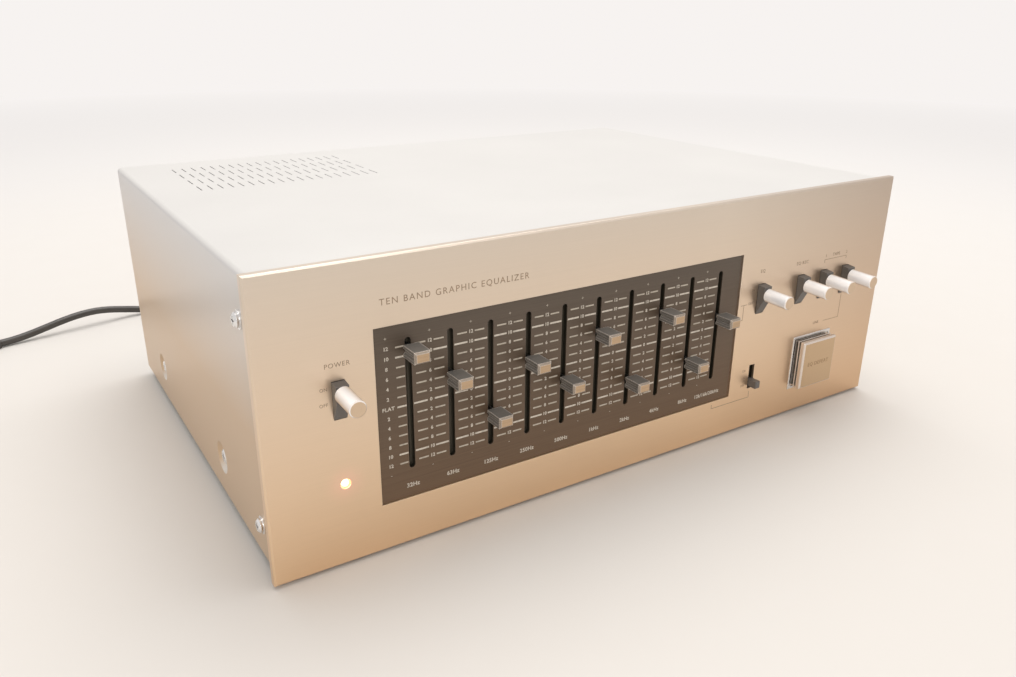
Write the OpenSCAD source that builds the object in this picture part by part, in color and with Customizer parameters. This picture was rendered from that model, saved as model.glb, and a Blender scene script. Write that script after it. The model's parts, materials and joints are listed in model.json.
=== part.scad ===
// Ten-band stereo graphic equalizer, free-standing hi-fi separate.
// Units are millimetres. +Z is up, +X is to the right seen from the front,
// and the front faces -Y. The origin is at table level, at the centre of the
// four feet, which is also the middle of the case seen from above.

/* [Case] */
// Width of the front panel
case_w = 420; // [414:1:430]
// Depth from the face of the front panel to the back edge of the cover
case_d = 292; // [284:1:300]
// Height of the front panel
panel_h = 148.5; // [146:0.5:154]
// Thickness of the front panel
panel_t = 4.5; // [4:0.5:5]
// Gap between the table and the bottom edge of the front panel
panel_gap = 1.5; // [1:0.5:2.5]
// Thickness of the sheet steel of the cover
cover_t = 1.0; // [0.8:0.1:1.2]

/* [Sliders] */
// Distance between neighbouring sliders
slider_pitch = 22.1; // [22:0.05:22.3]
// Width of a slider cap
cap_w = 8.0; // [7:0.5:9]
// Height of a slider cap
cap_h = 5.8; // [5:0.2:7]
// Depth of a slider cap from its back to its face
cap_d = 12.0; // [10:0.5:14]
// Resting height of cap 1 above the flat line
rest_1 = 28.8; // [-29:0.1:29]
// Resting height of cap 2 above the flat line
rest_2 = 10.6; // [-29:0.1:29]
// Resting height of cap 3 above the flat line
rest_3 = -14.9; // [-29:0.1:29]
// Resting height of cap 4 above the flat line
rest_4 = 8.6; // [-29:0.1:29]
// Resting height of cap 5 above the flat line
rest_5 = -7.5; // [-29:0.1:29]
// Resting height of cap 6 above the flat line
rest_6 = 14.6; // [-29:0.1:29]
// Resting height of cap 7 above the flat line
rest_7 = -17.9; // [-29:0.1:29]
// Resting height of cap 8 above the flat line
rest_8 = 17.1; // [-29:0.1:29]
// Resting height of cap 9 above the flat line
rest_9 = -16.4; // [-29:0.1:29]
// Resting height of cap 10 above the flat line
rest_10 = 6.1; // [-29:0.1:29]

/* [Switches] */
// Diameter of the cylindrical lever knobs
knob_dia = 8.2; // [7.4:0.2:8.6]
// Length of the cylindrical lever knobs
knob_len = 16.5; // [14:0.5:18]
// How far a lever travels between its two places
lever_travel = 8.0; // [7:0.2:8]
// Width of the square push-button
button_w = 30.5; // [28:0.5:32]
// Height of the square push-button
button_h = 31.5; // [29:0.5:33]
// How far the push-button stands out of the panel
button_out = 7.8; // [6:0.2:9]

/* [Output] */
// Which piece to draw

/* [Hidden] */
$fn = 48;
eps = 0.01;                   // small overlap that joins touching shapes

// casing
front_y = -case_d / 2;        // face of the front panel
back_y = case_d / 2;          // back edge of the cover
panel_y = front_y + panel_t;  // back of the front panel
panel_z0 = panel_gap;         // bottom edge of the front panel
panel_z1 = panel_z0 + panel_h;
sub_t = 1.2;
sub_y = panel_y + sub_t;      // back of the sub-panel
cover_x = case_w / 2 - 2.4;   // outer face of the cover's sides
cover_z = panel_z1 - 1.55;    // outer face of the cover's top
cover_z0 = 6;                 // bottom edge of the cover
cover_r = 2.6;                // outer radius of the cover's top corners
inner_x = cover_x - cover_t - 0.2;   // reach of the sheet metal inside the cover
inner_z = cover_z - cover_t - 0.3;
base_z = 7.2;                 // underside of the chassis base
base_t = 1.2;
base_top = base_z + base_t;
rear_y = back_y - 2.2;        // outer face of the rear panel
rear_t = 1.2;
panel_screw_x = [-195, 195];
panel_screw_z = [panel_z0 + 12, panel_z1 - 12];
foot_x = [-165, 165];
foot_y = [-105, 105];

// scale plate and sliders
plate_x0 = -155.1;
plate_x1 = 77.4;
plate_z0 = panel_z0 + 25.25;
plate_z1 = panel_z0 + 115.6;
plate_t = 0.8;
recess_d = 1.6;               // depth of the recess for the scale plate
flat_z = panel_z0 + 74.5;     // height of the flat line
first_slider_x = -138.1;
slot_len = 67.6;
rests = [rest_1, rest_2, rest_3, rest_4, rest_5, rest_6, rest_7, rest_8, rest_9, rest_10];
function slider_x(i) = first_slider_x + slider_pitch * (i - 1);
function cap_z(i) = flat_z + rests[i - 1];
cap_y = front_y - 2.5;        // back face of the caps
pot_w = 9;
pot_len = 78;
pot_d = 9.2;
pot_pin_z = [-34, -30, 30, 34];   // from the flat line

// lever switches; the first lever is the power switch
lever_x = [-172.8, 95.8, 131, 152.2, 173.4];
lever_z1 = panel_z0 + 95.1;   // top of the lever openings
lever_z0 = lever_z1 - 10.2 - lever_travel - 0.6;
lever_w = 6.2;                // width of the lever openings
shank_w = 5.6;
shank_h = 9.8;
shank_z = lever_z1 - 0.5 - shank_h / 2;   // shank centre, lever up
knob_y = front_y - 5.2;       // back of the knobs
function knob_z(k) = lever_z1 - (k == 0 ? 4.6 : 5.7);   // knob centre at its back
knob_tilt = 2;                // the knobs point down by this many degrees
switch_w = 13;
switch_len = 34;
switch_d = 14;

// small slide switch
band_x = 95.5;
band_z = panel_z0 + 34.8;
band_rest_z = panel_z0 + 31.0;

// push-button and pilot lamp
button_x = 149.2;
button_z = panel_z0 + 35.1;
button_y = front_y - button_out;   // face of the button
lamp_x = -172.6;
lamp_z = panel_z0 + 43;
lamp_r = 2.5;

// screws in the cover's sides: the front ones have washers, the others sit in dishes
side_screw_y = front_y + 16.5;
side_screw_z = [panel_z0 + 24.2, panel_z0 + 125.3];
washer_t = 1.0;
dish_y = [front_y + 86.1, front_y + 228.4];
dish_z = panel_z0 + 26.4;
dish_d = 2.6;

// inside: [x, y] of the bosses that carry the boards
board_pegs = [[-8, -96], [180, -96], [-8, 96], [180, 96],
  [-186, -96], [-66, -96], [-186, 0], [-66, 0]];
peg_h = 6;
board_t = 1.6;
board_z = base_top + peg_h;
board_top = board_z + board_t;
core_x = -120;                // centre of the transformer
core_y = 62;
core_clamp_t = 3;
core_screw_x = [core_x - 40, core_x + 40];
coil_d = 54;                  // depth of the transformer's coil
// filter blocks on the main board, left front corner of each
function filter_x(i) = 12 + 34 * i;
function filter_y(j) = -76 + 40 * j;
filter_d = 7;

// rear panel fittings
jack_plate_x = 12;            // left edge of the jack plate, seen from the front
jack_plate_z = 44;            // bottom edge
jack_plate_w = 168;
jack_plate_h = 54;
jack_plate_t = 2;
jack_mid_z = jack_plate_z + jack_plate_h / 2;
jack_x = [34, 52, 86, 104, 138, 156];
jack_z = [jack_mid_z - 13, jack_mid_z + 13];
jack_screw_x = [jack_plate_x + 4.5, jack_plate_x + jack_plate_w - 4.5];
ground_x = 2;
cord_x = -150;
cord_z = 32;

// ---------------------------------------------------------------- helpers
// block centred on x and z, with its front face at y
module block(x, y, z, w, d, h) {
  translate([x - w / 2, y, z - h / 2]) cube([w, d, h]);
}
module y_rod(x, y0, y1, z, r) {
  translate([x, y0, z]) rotate([-90, 0, 0]) cylinder(r = r, h = y1 - y0);
}
module x_rod(x0, x1, y, z, r) {
  translate([x0, y, z]) rotate([0, 90, 0]) cylinder(r = r, h = x1 - x0);
}
// left edge of a part w wide whose outer face is outer_x from the middle, on side -1 or 1
function side_x0(side, outer_x, w) = side > 0 ? outer_x - w : -outer_x;
// hole from 1 outside the face at outer_x to depth inside it
module side_hole(side, outer_x, depth, y, z, r) {
  x0 = side_x0(side, outer_x + 1, depth + 1);
  x_rod(x0, x0 + depth + 1, y, z, r);
}
// upright slot with round ends, cut along Y
module slot(x, y0, y1, z, w, len) {
  translate([x, y1, z]) rotate([90, 0, 0]) linear_extrude(height = y1 - y0) union() {
    square([w, len - w], center = true);
    translate([0, (len - w) / 2]) circle(d = w);
    translate([0, -(len - w) / 2]) circle(d = w);
  }
}
module rounded_rect(w, h, r) {
  union() {
    square([w - 2 * r, h], center = true);
    square([w, h - 2 * r], center = true);
    for (a = [-1, 1], b = [-1, 1]) translate([a * (w / 2 - r), b * (h / 2 - r)]) circle(r = r);
  }
}
// block from y0 to y1 whose four front edges are chamfered by c
module bevel_block(x, y0, y1, z, w, h, c) {
  intersection() {
    translate([x, 0, z - h / 2]) linear_extrude(height = h)
      polygon([[-w / 2 + c, y0], [w / 2 - c, y0], [w / 2, y0 + c],
        [w / 2, y1], [-w / 2, y1], [-w / 2, y0 + c]]);
    translate([x - w / 2, 0, z]) rotate([90, 0, 90]) linear_extrude(height = w)
      polygon([[y0, -h / 2 + c], [y0, h / 2 - c], [y0 + c, h / 2],
        [y1, h / 2], [y1, -h / 2], [y0 + c, -h / 2]]);
  }
}
// pan head screw seated at the origin: head toward +Z, shaft toward -Z
module pan_screw(shaft_r, head_r, head_h, len) {
  rim_h = head_h * 0.55;
  cross_w = 0.8;
  difference() {
    union() {
      translate([0, 0, -len]) cylinder(r = shaft_r, h = len + eps);
      cylinder(r = head_r, h = rim_h);
      translate([0, 0, rim_h - eps])
        cylinder(r1 = head_r, r2 = head_r * 0.72, h = head_h * 0.45);
    }
    for (a = [0, 90]) rotate([0, 0, a]) translate([-head_r * 0.55, -cross_w / 2, head_h * 0.45])
      cube([head_r * 1.1, cross_w, head_h]);
  }
}

// ---------------------------------------------------------------- casing
// openings shared by the front panel and the sub-panel
module panel_openings(y0, y1, lamp_hole_r, button_play) {
  for (i = [1:10]) slot(slider_x(i), y0, y1, flat_z, 4.4, slot_len + 1.4);
  for (x = lever_x) translate([x - lever_w / 2, y0, lever_z0])
    cube([lever_w, y1 - y0, lever_z1 - lever_z0]);
  y_rod(lamp_x, y0, y1, lamp_z, lamp_hole_r);
  block(band_x, y0, band_z, 4.6, y1 - y0, 15.8);
  block(button_x, y0, button_z, button_w + button_play, y1 - y0, button_h + button_play);
}
module front_panel() {
  color([0.84, 0.78, 0.70]) difference() {
    bevel_block(0, front_y, panel_y, panel_z0 + panel_h / 2, case_w, panel_h, 0.9);
    // recess for the scale plate
    translate([plate_x0, front_y - 1, plate_z0])
      cube([plate_x1 - plate_x0, recess_d + 1, plate_z1 - plate_z0]);
    panel_openings(front_y - 1, panel_y + 1, 2.6, 3.0);
    // blind holes for the screws that hold the panel from behind
    for (x = panel_screw_x, z = panel_screw_z) y_rod(x, panel_y - 3, panel_y + 1, z, 1.25);
  }
}

module slider_plate() {
  gap = 0.1;                  // between the plate and the edge of its recess
  color([0.16, 0.14, 0.12]) difference() {
    translate([plate_x0 + gap, front_y + recess_d - plate_t, plate_z0 + gap])
      cube([plate_x1 - plate_x0 - 2 * gap, plate_t, plate_z1 - plate_z0 - 2 * gap]);
    for (i = [1:10]) slot(slider_x(i), front_y, panel_y, flat_z, 3.3, slot_len);
  }
}

module sub_panel() {
  height = inner_z - base_top;
  side_flange = 34;
  flange = 12;                // top and bottom flanges
  color([0.72, 0.72, 0.70]) difference() {
    union() {
      translate([-case_w / 2 + 6, panel_y, base_top]) cube([case_w - 12, sub_t, height]);
      // the side flanges take the washer screws
      for (s = [-1, 1]) translate([side_x0(s, inner_x, sub_t), panel_y, base_top])
        cube([sub_t, side_flange, height]);
      for (z = [inner_z - sub_t, base_top]) translate([-inner_x, panel_y, z])
        cube([2 * inner_x, flange, sub_t]);
    }
    panel_openings(panel_y - 1, sub_y + 1, 3.1, 1);
    for (s = [-1, 1], z = side_screw_z) side_hole(s, cover_x, 6, side_screw_y, z, 2.0);
    for (x = panel_screw_x, z = panel_screw_z) y_rod(x, panel_y - 1, sub_y + 1, z, 1.6);
    corner_cut(panel_y - 1, 40);
  }
}
// takes the sharp top corners off the flanges, which lie inside the cover's rounded corners
module corner_cut(y, len) {
  side = 1.5;
  for (s = [-1, 1]) translate([s * inner_x, y, inner_z]) rotate([0, 45, 0])
    translate([-side / 2, 0, -side / 2]) cube([side, len, side]);
}

// outline of the cover seen from the front, moved in by inset; it starts 0.1 below the edge
module cover_outline(inset) {
  r = max(0.6, cover_r - inset);
  x = cover_x - inset;
  top = cover_z - inset;
  low = cover_z0 - 0.1;
  union() {
    translate([-x, low]) square([2 * x, top - r - low]);
    translate([-x + r, top - 2 * r]) square([2 * x - 2 * r, 2 * r]);
    for (s = [-1, 1]) translate([s * (x - r), top - r]) circle(r = r);
  }
}
// shallow dish pressed into one side of the cover: its hollow for metal = 0,
// or with the metal behind it for metal = cover_t
module dish(side, metal) {
  translate([side * (cover_x + (metal > 0 ? 0 : eps)), 0, 0]) rotate([0, -side * 90, 0])
    cylinder(r1 = 9 + metal * 0.4, r2 = 6 + metal * 0.4, h = dish_d + metal);
}
module top_cover() {
  vent_w = 0.7;
  vent_pitch = 6.2;
  color([0.90, 0.88, 0.83]) difference() {
    union() {
      difference() {
        translate([0, back_y, 0]) rotate([90, 0, 0])
          linear_extrude(height = back_y - panel_y - 0.2) difference() {
            cover_outline(0);
            cover_outline(cover_t);
            translate([-cover_x - 1, cover_z0 - 1]) square([2 * cover_x + 2, 1]);
          }
      }
      for (s = [-1, 1], y = dish_y) translate([0, y, dish_z]) dish(s, cover_t);
    }
    for (s = [-1, 1], y = dish_y) translate([0, y, dish_z]) dish(s, 0);
    for (s = [-1, 1], y = dish_y) side_hole(s, cover_x, 6, y, dish_z, 1.7);
    for (s = [-1, 1], z = side_screw_z) side_hole(s, cover_x, 6, side_screw_y, z, 2.2);
    // four rows of very fine vent slots at the left of the top, toward the back
    for (y = [42, 64, 86, 108], k = [0:18])
      translate([-178 + vent_pitch * k - vent_w / 2, y, cover_z - 3]) cube([vent_w, 14, 6]);
  }
}

module chassis_base() {
  metal = [0.70, 0.70, 0.67];
  wall_x = inner_x - dish_d;  // outer face of the side walls, clear of the dishes
  wall_y = panel_y + 36;
  wall_h = 32;
  cut_z = base_z - 1;
  peg_hole_r = 1.25;
  color(metal) difference() {
    union() {
      translate([-inner_x, panel_y + 0.2, base_z])
        cube([2 * inner_x, rear_y - panel_y - 0.4, base_t]);
      for (s = [-1, 1]) translate([side_x0(s, wall_x, base_t), wall_y, base_z])
        cube([base_t, rear_y - 14.5 - wall_y, wall_h]);
    }
    for (s = [-1, 1], y = dish_y) side_hole(s, wall_x, 3, y, dish_z, 1.5);
    for (x = core_screw_x) translate([x, core_y, cut_z]) cylinder(r = 2.0, h = 4);
    // vents under the main board
    for (k = [0:11]) translate([10 + 12 * k, -40, cut_z]) cube([3, 70, 4]);
    for (x = foot_x, y = foot_y) translate([x, y, cut_z]) cylinder(r = 2.1, h = 4);
    for (p = board_pegs) translate([p[0], p[1], cut_z]) cylinder(r = peg_hole_r, h = 4);
  }
  // pressed bosses that carry the boards
  color(metal) for (p = board_pegs) translate([p[0], p[1], base_top - eps]) difference() {
    cylinder(r = 4, h = peg_h + eps);
    translate([0, 0, -1]) cylinder(r = peg_hole_r, h = 9);
  }
}

module rear_panel() {
  flange = 14;
  y0 = rear_y - 5;            // the cutters run from y0 to y1
  y1 = rear_y + 5;
  color([0.78, 0.77, 0.74]) difference() {
    union() {
      translate([-inner_x, rear_y - rear_t, base_top])
        cube([2 * inner_x, rear_t, inner_z - base_top]);
      for (z = [inner_z - rear_t, base_top]) translate([-inner_x, rear_y - flange, z])
        cube([2 * inner_x, flange, rear_t]);
    }
    // window behind the jack plate
    translate([jack_plate_x + 9, y0, jack_plate_z + 4])
      cube([jack_plate_w - 18, y1 - y0, jack_plate_h - 8]);
    y_rod(cord_x, y0, y1, cord_z, 7.05);
    y_rod(ground_x, y0, y1, jack_mid_z, 2.1);
    // row of upright vent slots
    for (k = [0:13]) slot(-150 + 9 * k, y0, y1, 95, 3, 50);
    for (x = jack_screw_x) y_rod(x, y0, y1, jack_mid_z, 1.6);
    corner_cut(rear_y - 20, 30);
  }
}

// ---------------------------------------------------------------- sliders
module slider_cap(i) {
  face_y = cap_y - cap_d;
  color([0.62, 0.58, 0.52]) difference() {
    bevel_block(slider_x(i), face_y, cap_y, cap_z(i), cap_w, cap_h, 0.9);
    // finger grooves along both sides
    for (s = [-1, 1]) translate([slider_x(i) + s * cap_w / 2, face_y + 1.6, cap_z(i)])
      rotate([-90, 0, 0]) linear_extrude(height = cap_d)
        polygon([[s * 0.1, -1.5], [s * 0.1, 1.5], [-s * 0.9, 0.5], [-s * 0.9, -0.5]]);
    // socket for the arm
    block(slider_x(i), cap_y - 7, cap_z(i), 1.4, 8, 4.2);
  }
}
module slider_arm(i) {
  arm_y = cap_y - 6.8;        // front end, inside the cap
  color([0.75, 0.76, 0.78]) union() {
    block(slider_x(i), arm_y, cap_z(i), 1.2, sub_y + 3 - arm_y, 4.0);
    // carriage that runs inside the potentiometer
    block(slider_x(i), sub_y + 1.6, cap_z(i), pot_w - 2.6, pot_d - 3.4, 8);
  }
}
module slide_pots() {
  color([0.66, 0.67, 0.66]) for (i = [1:10]) difference() {
    union() {
      block(slider_x(i), sub_y, flat_z, pot_w, pot_d, pot_len);
      // mounting ears and solder pins
      for (s = [-1, 1]) block(slider_x(i), sub_y, flat_z + s * (pot_len / 2 + 3), pot_w, 1.2, 6.5);
      for (z = pot_pin_z) block(slider_x(i), sub_y + pot_d - eps, flat_z + z, 0.8, 3.2, 1.2);
    }
    block(slider_x(i), sub_y + 1.2, flat_z, pot_w - 2.2, pot_d - 2.4, 70.4);
    slot(slider_x(i), sub_y - 1, sub_y + 2, flat_z, 2.2, 66.4);
  }
}
module slider_board() {
  green = [0.20, 0.36, 0.20];
  y = sub_y + pot_d;
  edge = 14;                  // board beyond the outer sliders
  height = 92;
  color(green) difference() {
    translate([slider_x(1) - edge, y, flat_z - height / 2])
      cube([slider_x(10) - slider_x(1) + 2 * edge, board_t, height]);
    for (i = [1:10], z = pot_pin_z) block(slider_x(i), y - 1, flat_z + z, 1.1, 4, 1.5);
  }
  // one upright block beside each slider
  color(green) for (i = [1:10])
    translate([slider_x(i) - 8, y + board_t - eps, flat_z - 10]) cube([6, 2.5, 18]);
}

// ---------------------------------------------------------------- lever switches
// moves to the back of knob k, with +Z along the knob toward the front
module at_knob(k) {
  translate([lever_x[k], knob_y, knob_z(k)]) rotate([90 + knob_tilt, 0, 0]) children();
}
module lever_knob(k) {
  r = knob_dia / 2;
  bevel = 0.5;
  color([0.88, 0.87, 0.85]) at_knob(k) difference() {
    rotate_extrude() polygon([[0, 0], [r - bevel, 0], [r, bevel],
      [r, knob_len - bevel], [r - bevel, knob_len], [0, knob_len]]);
    translate([0, 0, -1]) cylinder(r = 1.55, h = 9);
  }
}
module lever_shank(k) {
  x = lever_x[k];
  wedge_y0 = front_y - 5;
  wedge_y1 = front_y - 0.15;
  color([0.10, 0.10, 0.10]) union() {
    // wedge in front of the panel, over the opening
    translate([x - lever_w / 2, 0, 0]) rotate([90, 0, 90]) linear_extrude(height = lever_w)
      polygon([[wedge_y1, lever_z0 + 0.3], [wedge_y0, lever_z0 + 9.8],
        [wedge_y0, lever_z1 - 0.8], [wedge_y1, lever_z1 - 0.2]]);
    block(x, front_y - 0.6, shank_z, shank_w, sub_y + 3.6 - front_y, shank_h);
    // pin that carries the knob
    at_knob(k) translate([0, 0, -1]) cylinder(r = 1.5, h = 8);
    // carriage inside the switch
    block(x, sub_y + 2.2, shank_z, switch_w - 5, switch_d - 5, shank_h);
  }
}
module lever_switches() {
  mid_z = (lever_z0 + lever_z1) / 2;
  color([0.62, 0.62, 0.60]) for (x = lever_x) difference() {
    union() {
      block(x, sub_y, mid_z, switch_w, switch_d, switch_len);
      block(x, sub_y, mid_z, switch_w, 1.2, switch_len + 12);
      for (z = [-12, -6, 0, 6, 12], a = [-3, 3])
        block(x + a, sub_y + switch_d - eps, mid_z + z, 0.8, 4, 1.6);
    }
    block(x, sub_y + 1.4, mid_z, switch_w - 2.4, switch_d - 2.8, 22);
    block(x, sub_y - 1, mid_z, lever_w, 4, lever_z1 - lever_z0);
    for (s = [-1, 1]) y_rod(x, sub_y - 1, sub_y + 3, mid_z + s * (switch_len / 2 + 3), 1.6);
  }
}

// ---------------------------------------------------------------- small slide switch
module band_lever() {
  color([0.08, 0.08, 0.08]) union() {
    bevel_block(band_x, front_y - 6.5, front_y + 1, band_rest_z, 3.8, 4.6, 0.6);
    block(band_x, front_y + 0.5, band_rest_z, 3.2, sub_y + 3 - front_y - 0.5, 4.0);
    block(band_x, sub_y + 1.8, band_rest_z, 6, 3.6, 6);
  }
}
module band_switch() {
  body_d = 8;
  color([0.66, 0.66, 0.64]) difference() {
    union() {
      block(band_x, sub_y, band_z, 10, body_d, 24);
      block(band_x, sub_y, band_z, 10, 0.8, 34);
      for (z = [-6, -2, 2, 6], a = [-2.5, 2.5])
        block(band_x + a, sub_y + body_d - eps, band_z + z, 0.8, 3.5, 1.2);
    }
    block(band_x, sub_y + 1.2, band_z, 7.2, 5.2, 17.4);
    block(band_x, sub_y - 1, band_z, 4.2, 4, 14.6);
    for (s = [-1, 1]) y_rod(band_x, sub_y - 1, sub_y + 3, band_z + s * 14.5, 1.3);
  }
}

// ---------------------------------------------------------------- pilot lamp
module pilot_lamp() {
  behind = 3;                 // lamp body behind the sub-panel
  body_len = behind + sub_t + panel_t - 0.9;
  color([1.0, 0.45, 0.10])
    translate([lamp_x, sub_y + behind, lamp_z]) rotate([90, 0, 0]) union() {
      cylinder(r = 3.0, h = 2.8);
      cylinder(r = lamp_r, h = body_len);
      // domed tip
      translate([0, 0, body_len - eps]) intersection() {
        translate([0, 0, -0.6]) sphere(r = lamp_r);
        cylinder(r = lamp_r, h = 2.0);
      }
      // two leads
      for (a = [-1.27, 1.27]) translate([a, 0, -12]) cylinder(r = 0.3, h = 12.2);
    }
}

// ---------------------------------------------------------------- square push-button
module push_button() {
  wall = 2;
  rib = 3;
  // grooves round the sides: [start, end] behind the face
  grooves = [[3.3, 4.5], [5.3, 7.1]];
  color([0.80, 0.74, 0.66]) difference() {
    union() {
      bevel_block(button_x, button_y, sub_y + 4, button_z, button_w, button_h, 0.9);
      block(button_x, sub_y + 4 - eps, button_z, 8, 1.3 + eps, 8);
      y_rod(button_x, sub_y + 5, sub_y + 20, button_z, 2.45);
    }
    for (g = grooves) difference() {
      block(button_x, button_y + g[0], button_z, button_w + 2, g[1] - g[0], button_h + 2);
      block(button_x, button_y + g[0] - 1, button_z, button_w - 2, g[1] - g[0] + 2, button_h - 2);
    }
    // hollow behind, round a square post and a cross of ribs
    difference() {
      block(button_x, button_y + 8.6, button_z, button_w - 2 * wall, 30, button_h - 2 * wall);
      block(button_x, sub_y, button_z, 12, 30, 12);
      block(button_x, button_y, button_z, rib, 40, button_h);
      block(button_x, button_y, button_z, button_w, 40, rib);
    }
  }
}
module button_collar() {
  in_hole = 2.8;              // how much larger than the button the part in the hole is
  color([0.80, 0.78, 0.72]) difference() {
    union() {
      bevel_block(button_x, front_y - 0.8, front_y + 1, button_z,
        button_w + 4.6, button_h + 4.6, 0.5);
      block(button_x, front_y - 0.2, button_z,
        button_w + in_hole, panel_t + 0.2, button_h + in_hole);
    }
    block(button_x, front_y - 3, button_z, button_w + 0.7, panel_t + 6, button_h + 0.7);
    // the part outside the hole only covers the panel's face
    difference() {
      block(button_x, front_y, button_z, button_w + 8, 3, button_h + 8);
      block(button_x, front_y - 1, button_z, button_w + in_hole, 5, button_h + in_hole);
    }
  }
}
module button_switch() {
  height = 14;
  bracket_t = 1.2;
  arm_x = 19;                 // bracket arms, either side of the switch
  color([0.64, 0.64, 0.62]) difference() {
    union() {
      block(button_x, sub_y + 13, button_z, 16, 22, height);
      // bracket to the sub-panel
      for (s = [-1, 1]) block(button_x + s * arm_x, sub_y, button_z, bracket_t, 16, height);
      for (s = [-1, 1]) block(button_x + s * 23, sub_y, button_z, 9, bracket_t, height);
      block(button_x, sub_y + 15, button_z, 2 * arm_x + bracket_t, bracket_t, height);
      // solder pins
      for (z = [-4, 0, 4], a = [-5, 5])
        block(button_x + a, sub_y + 35 - eps, button_z + z, 0.8, 4, 1.6);
    }
    y_rod(button_x, sub_y + 12, sub_y + 25, button_z, 2.5);
    for (s = [-1, 1]) y_rod(button_x + s * 24.5, sub_y - 1, sub_y + 3, button_z, 1.6);
  }
}
// spring drawn as five separate rings round the button's stem
module button_spring() {
  color([0.80, 0.81, 0.83]) translate([button_x, sub_y + 5.7, button_z]) rotate([-90, 0, 0])
    for (k = [0:4]) translate([0, 0, k * 1.7])
      rotate_extrude() translate([3.1, 0]) circle(r = 0.35, $fn = 16);
}

// ---------------------------------------------------------------- inside
// flat board with screw holes at the pegs
module board(x, y, w, d) {
  difference() {
    translate([x, y, board_z]) cube([w, d, board_t]);
    for (p = board_pegs) translate([p[0], p[1], board_z - 1]) cylinder(r = 1.6, h = 4);
  }
}
module main_board() {
  brown = [0.72, 0.60, 0.36];
  color(brown) board(-14, -102, 200, 204);
  // filter amplifiers and their coils
  color(brown) for (i = [0:4], j = [0:3])
    translate([filter_x(i), filter_y(j), board_top - eps]) cube([18, filter_d, 9]);
}
module power_board() {
  brown = [0.68, 0.56, 0.34];
  sink_y = -60;
  sink_h = 34;
  color(brown) board(-192, -102, 132, 108);
  // heat sink: plate, fins on its right and two regulators on its left
  color(brown) union() {
    translate([-100, sink_y, board_top - eps]) cube([3, 46, sink_h]);
    for (k = [0:6]) translate([-97.5, sink_y + 7 * k, board_top - eps]) cube([12, 2, sink_h]);
    for (k = [0, 1]) translate([-104.4, -50 + 22 * k, board_z + 6]) cube([4.6, 10, 15]);
  }
}
module capacitors() {
  // on the power board: [x, y, radius, height]
  large = [[-160, -70, 11, 38], [-130, -70, 11, 38], [-160, -36, 8, 26], [-136, -36, 8, 26]];
  color([0.12, 0.20, 0.42]) {
    for (p = large) translate([p[0], p[1], board_top]) cylinder(r = p[2], h = p[3]);
    // one to the right of each filter block
    for (i = [0:4], j = [0:3])
      translate([filter_x(i) + 24, filter_y(j) + filter_d / 2, board_top])
        cylinder(r = 3.2, h = 12);
  }
}
module transformer() {
  leg_w = 22;                 // middle leg of the core
  core_d = 30;
  color([0.36, 0.34, 0.33]) translate([core_x, core_y, base_top]) union() {
    // laminated core with two windows
    difference() {
      translate([-33, -core_d / 2, 3]) cube([66, core_d, 55]);
      for (x = [-leg_w, leg_w / 2]) translate([x, -20, 14]) cube([leg_w / 2, 40, 33]);
    }
    // clamp frame with ears
    difference() {
      translate([-45, -17, 0]) cube([90, 34, core_clamp_t]);
      for (x = core_screw_x) translate([x - core_x, 0, -1]) cylinder(r = 2.1, h = 5);
    }
    // coil on its bobbin
    difference() {
      translate([-20.5, -coil_d / 2, 15]) cube([41, coil_d, 31]);
      translate([-leg_w / 2, -core_d / 2, 0]) cube([leg_w, core_d, 60]);
    }
  }
}

// ---------------------------------------------------------------- rear fittings
module jack_plate() {
  color([0.09, 0.08, 0.08]) difference() {
    translate([jack_plate_x, rear_y, jack_plate_z])
      cube([jack_plate_w, jack_plate_t, jack_plate_h]);
    for (x = jack_x, z = jack_z) y_rod(x, rear_y - 1, rear_y + 3, z, 4.45);
    for (x = jack_screw_x) y_rod(x, rear_y - 1, rear_y + 3, jack_mid_z, 1.6);
  }
}
// moves to a place on the rear panel's outer face, with +Z pointing out to the back
module on_rear(x, z) {
  translate([x, rear_y, z]) rotate([-90, 0, 0]) children();
}
module phono_jacks() {
  color([0.82, 0.80, 0.76]) for (x = jack_x, z = jack_z) on_rear(x, z) difference() {
    union() {
      translate([0, 0, -9]) cylinder(r = 4.4, h = 11);
      translate([0, 0, jack_plate_t]) cylinder(r = 5.6, h = 1.0);
      translate([0, 0, 3 - eps]) cylinder(r = 4.15, h = 9);
      translate([0, 0, -15]) cylinder(r = 1.0, h = 7);
    }
    // centre hole, and a ring-shaped gap round it
    translate([0, 0, 2.5]) cylinder(r = 1.6, h = 20);
    translate([0, 0, 4]) difference() {
      cylinder(r = 3.4, h = 20);
      cylinder(r = 2.6, h = 20);
    }
  }
}
module ground_terminal() {
  nut_r = 5.2;
  color([0.80, 0.78, 0.72]) on_rear(ground_x, jack_mid_z) union() {
    translate([0, 0, -8]) cylinder(r = 1.9, h = 20);
    cylinder(r = 5, h = 1.2);
    // grooved nut
    difference() {
      translate([0, 0, 5]) cylinder(r = nut_r, h = 6);
      for (k = [0:11]) rotate([0, 0, 30 * k]) translate([nut_r, 0, 4])
        cylinder(r = 0.7, h = 8, $fn = 16);
    }
  }
}
module strain_relief() {
  color([0.08, 0.08, 0.08]) on_rear(cord_x, cord_z) difference() {
    union() {
      translate([0, 0, -8]) cylinder(r = 7, h = 9);
      cylinder(r = 9.5, h = 5);
      translate([0, 0, 5 - eps]) cylinder(r1 = 7.5, r2 = 5.2, h = 9);
    }
    translate([0, 0, -20]) cylinder(r = 3.2, h = 60);
  }
}

// ---------------------------------------------------------------- mains cord
cord_r = 3.1;
cord_h = 3.3;                 // height of the cord's centre on the table
cord_turn = 103.5;            // how far the cord turns on the table
drop_r = 25;                  // radius of the two bends down to the table
table_r = 40;                 // radius of the bend on the table
cord_len = 100;               // straight run up to the plug
cos45 = sqrt(0.5);
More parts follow.
